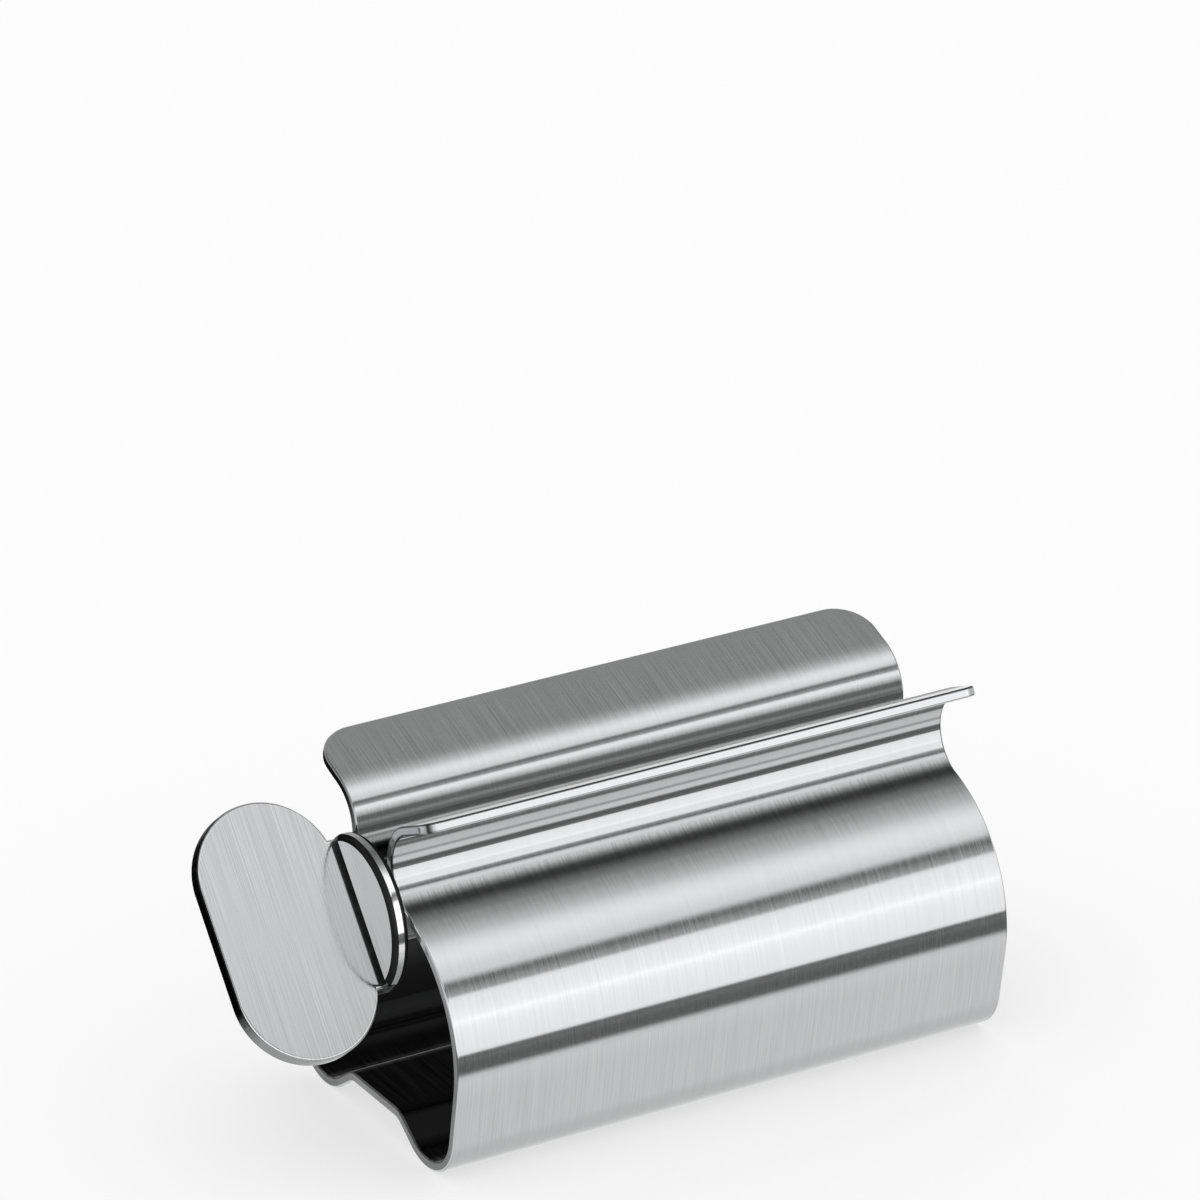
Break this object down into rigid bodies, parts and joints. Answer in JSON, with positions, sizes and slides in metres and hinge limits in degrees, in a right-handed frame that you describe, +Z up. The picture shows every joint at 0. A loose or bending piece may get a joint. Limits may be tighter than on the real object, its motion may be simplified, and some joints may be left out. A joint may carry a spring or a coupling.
{
  "type": "toothpaste tube squeezer",
  "caption": "Stand bent from sheet steel with a lipped slot above a round hollow, and a flat-handled fork key that turns in it to roll up and empty a soft tube.",
  "frame": {"origin": "on the ground, under the middle of the whole object's box", "axes": "+X along the stand, away from the key's handle; -Y to the front, the side of the shorter lip; +Z up"},
  "size_m": [0.1018, 0.0426, 0.0475],
  "materials": {
    "stand_steel": "bright stainless steel, fine brushing round the bends",
    "plate_steel": "satin stainless steel, brushed along the handle, with a bright edge",
    "disc_steel": "satin face with a polished round rim"
  },
  "bodies": {
    "stand": {"stand": "stand_steel"},
    "key": {"key_plate": "plate_steel", "key_disc": "disc_steel"}
  },
  "joints": [
    {"name": "key_spin", "type": "hinge", "parent": "stand", "child": "key", "pos_m": [-0.02915, 0, 0.0298], "axis": [1, 0, 0], "continuous": true}
  ]
}
